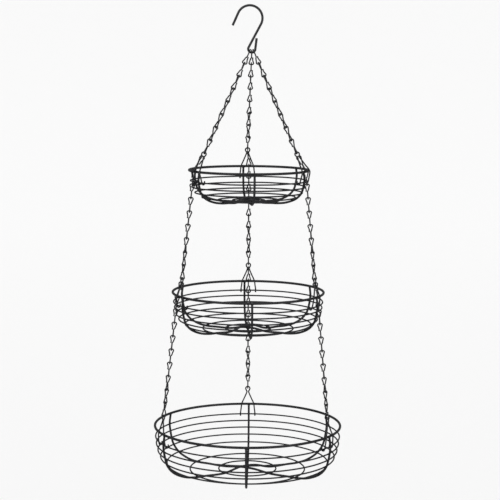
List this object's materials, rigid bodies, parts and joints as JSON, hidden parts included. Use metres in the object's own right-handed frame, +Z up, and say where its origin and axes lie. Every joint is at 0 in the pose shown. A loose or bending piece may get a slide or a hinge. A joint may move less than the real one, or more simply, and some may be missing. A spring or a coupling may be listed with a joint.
{
  "type": "hanging wire produce basket",
  "caption": "Hanging wire basket for produce: black wire bowls one below another on jack chain, with wire clips at the rims and an S-hook on top.",
  "frame": {"origin": "the bearing point of the S-hook: the top of the inside of its upper crook", "axes": "+Z up along the hanging line, +X to the right seen from the front, the front towards -Y, the rear chain at +Y"},
  "size_m": [0.3056, 0.3092, 0.7558],
  "materials": {
    "basket_wire": "satin black powder coat",
    "chain_wire": "satin black coated steel",
    "clip_wire": "satin black coated steel",
    "hook_wire": "satin black coated steel"
  },
  "bodies": {
    "hook": {"s_hook": "hook_wire"},
    "top_loops": {"top_loop_left": "chain_wire", "top_loop_right": "chain_wire", "top_loop_rear": "chain_wire"},
    "top_tier": {"top_chain_left": "chain_wire", "top_chain_right": "chain_wire", "top_chain_rear": "chain_wire", "top_rim": "basket_wire", "top_ring_1": "basket_wire", "top_ring_2": "basket_wire", "top_ring_3": "basket_wire", "top_ring_4": "basket_wire", "top_base_ring_1": "basket_wire", "top_base_ring_2": "basket_wire", "top_rib_1": "basket_wire", "top_rib_2": "basket_wire", "top_rib_3": "basket_wire", "top_clip_left": "clip_wire", "top_clip_right": "clip_wire", "top_clip_rear": "clip_wire", "top_over_rim_left": "chain_wire", "top_over_rim_right": "chain_wire", "top_over_rim_rear": "chain_wire"},
    "middle_rear_chain": {"middle_chain_rear": "chain_wire"},
    "middle_left_chain": {"middle_chain_left": "chain_wire"},
    "middle_right_chain": {"middle_chain_right": "chain_wire"},
    "middle_tier": {"middle_rim": "basket_wire", "middle_ring_1": "basket_wire", "middle_ring_2": "basket_wire", "middle_ring_3": "basket_wire", "middle_ring_4": "basket_wire", "middle_ring_5": "basket_wire", "middle_base_ring_1": "basket_wire", "middle_base_ring_2": "basket_wire", "middle_rib_1": "basket_wire", "middle_rib_2": "basket_wire", "middle_rib_3": "basket_wire", "middle_clip_left": "clip_wire", "middle_clip_right": "clip_wire", "middle_clip_rear": "clip_wire", "middle_over_rim_left": "chain_wire", "middle_over_rim_right": "chain_wire", "middle_over_rim_rear": "chain_wire"},
    "bottom_rear_chain": {"bottom_chain_rear": "chain_wire"},
    "bottom_left_chain": {"bottom_chain_left": "chain_wire"},
    "bottom_right_chain": {"bottom_chain_right": "chain_wire"},
    "bottom_tier": {"bottom_rim": "basket_wire", "bottom_ring_1": "basket_wire", "bottom_ring_2": "basket_wire", "bottom_ring_3": "basket_wire", "bottom_ring_4": "basket_wire", "bottom_ring_5": "basket_wire", "bottom_base_ring_1": "basket_wire", "bottom_base_ring_2": "basket_wire", "bottom_rib_1": "basket_wire", "bottom_rib_2": "basket_wire", "bottom_rib_3": "basket_wire", "bottom_clip_left": "clip_wire", "bottom_clip_right": "clip_wire", "bottom_clip_rear": "clip_wire"}
  },
  "joints": [
    {"name": "swing_fore_aft", "type": "hinge", "parent": "hook", "child": "top_loops", "pos_m": [0.00296, 0, -0.07144], "axis": [1, 0, 0], "range_deg": [-12, 12]},
    {"name": "swing_sideways", "type": "hinge", "parent": "top_loops", "child": "top_tier", "pos_m": [0, 0, -0.08139], "axis": [0, 1, 0], "range_deg": [-10, 10]},
    {"name": "middle_sway", "type": "hinge", "parent": "top_tier", "child": "middle_rear_chain", "pos_m": [0, 0.1002, -0.2568], "axis": [0, 1, 0], "range_deg": [-7, 7]},
    {"name": "middle_left_chain_sway", "type": "hinge", "parent": "top_tier", "child": "middle_left_chain", "pos_m": [-0.08589, -0.05161, -0.2568], "axis": [0, 1, 0], "range_deg": [-7, 7]},
    {"name": "middle_right_chain_sway", "type": "hinge", "parent": "top_tier", "child": "middle_right_chain", "pos_m": [0.08967, -0.04471, -0.2568], "axis": [0, 1, 0], "range_deg": [-7, 7]},
    {"name": "middle_basket_level", "type": "hinge", "parent": "middle_rear_chain", "child": "middle_tier", "pos_m": [0, 0.1196, -0.424], "axis": [0, 1, 0], "range_deg": [-7, 7]},
    {"name": "bottom_sway", "type": "hinge", "parent": "middle_tier", "child": "bottom_rear_chain", "pos_m": [0, 0.1266, -0.4535], "axis": [0, 1, 0], "range_deg": [-7, 7]},
    {"name": "bottom_left_chain_sway", "type": "hinge", "parent": "middle_tier", "child": "bottom_left_chain", "pos_m": [-0.11126, -0.06041, -0.4535], "axis": [0, 1, 0], "range_deg": [-7, 7]},
    {"name": "bottom_right_chain_sway", "type": "hinge", "parent": "middle_tier", "child": "bottom_right_chain", "pos_m": [0.10964, -0.0633, -0.4535], "axis": [0, 1, 0], "range_deg": [-7, 7]},
    {"name": "bottom_basket_level", "type": "hinge", "parent": "bottom_rear_chain", "child": "bottom_tier", "pos_m": [0, 0.1488, -0.643], "axis": [0, 1, 0], "range_deg": [-7, 7]}
  ],
  "couplings": [
    {"joint": "middle_left_chain_sway", "follows": "middle_sway", "ratio": 1},
    {"joint": "middle_right_chain_sway", "follows": "middle_sway", "ratio": 1},
    {"joint": "middle_basket_level", "follows": "middle_sway", "ratio": -0.85},
    {"joint": "bottom_left_chain_sway", "follows": "bottom_sway", "ratio": 1},
    {"joint": "bottom_right_chain_sway", "follows": "bottom_sway", "ratio": 1},
    {"joint": "bottom_basket_level", "follows": "bottom_sway", "ratio": -0.86}
  ]
}
